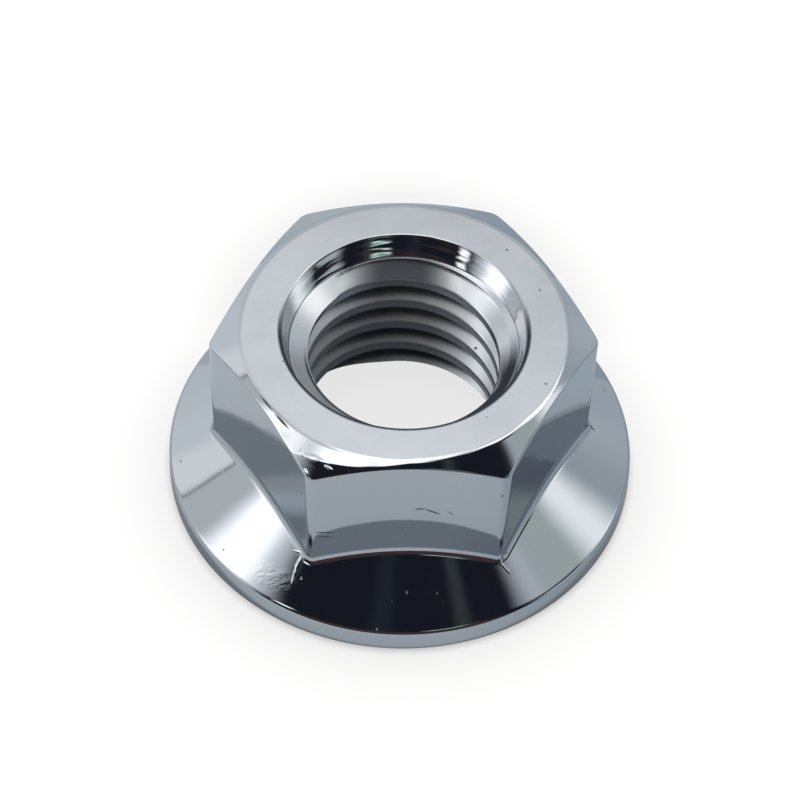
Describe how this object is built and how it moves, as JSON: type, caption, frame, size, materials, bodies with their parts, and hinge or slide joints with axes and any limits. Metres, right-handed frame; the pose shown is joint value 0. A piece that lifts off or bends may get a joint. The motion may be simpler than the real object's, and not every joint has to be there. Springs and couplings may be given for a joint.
{
  "type": "hexagon flange nut",
  "caption": "Bright plated steel hexagon nut with a cone flange, a threaded bore and a recess in its top face. It clamps a joint without a washer.",
  "frame": {"origin": "centre of the bearing face, on the thread's axis", "axes": "+Z along the thread's axis, from the bearing face to the top face; two corners of the hexagon lie on X and two flats face Y"},
  "size_m": [0.0208, 0.0208, 0.0096],
  "materials": {
    "plated_steel": "bright zinc plating over cold formed steel, mirror smooth, with fine pits and hairline scratches"
  },
  "bodies": {
    "root": {"flange_nut": "plated_steel"}
  },
  "joints": []
}
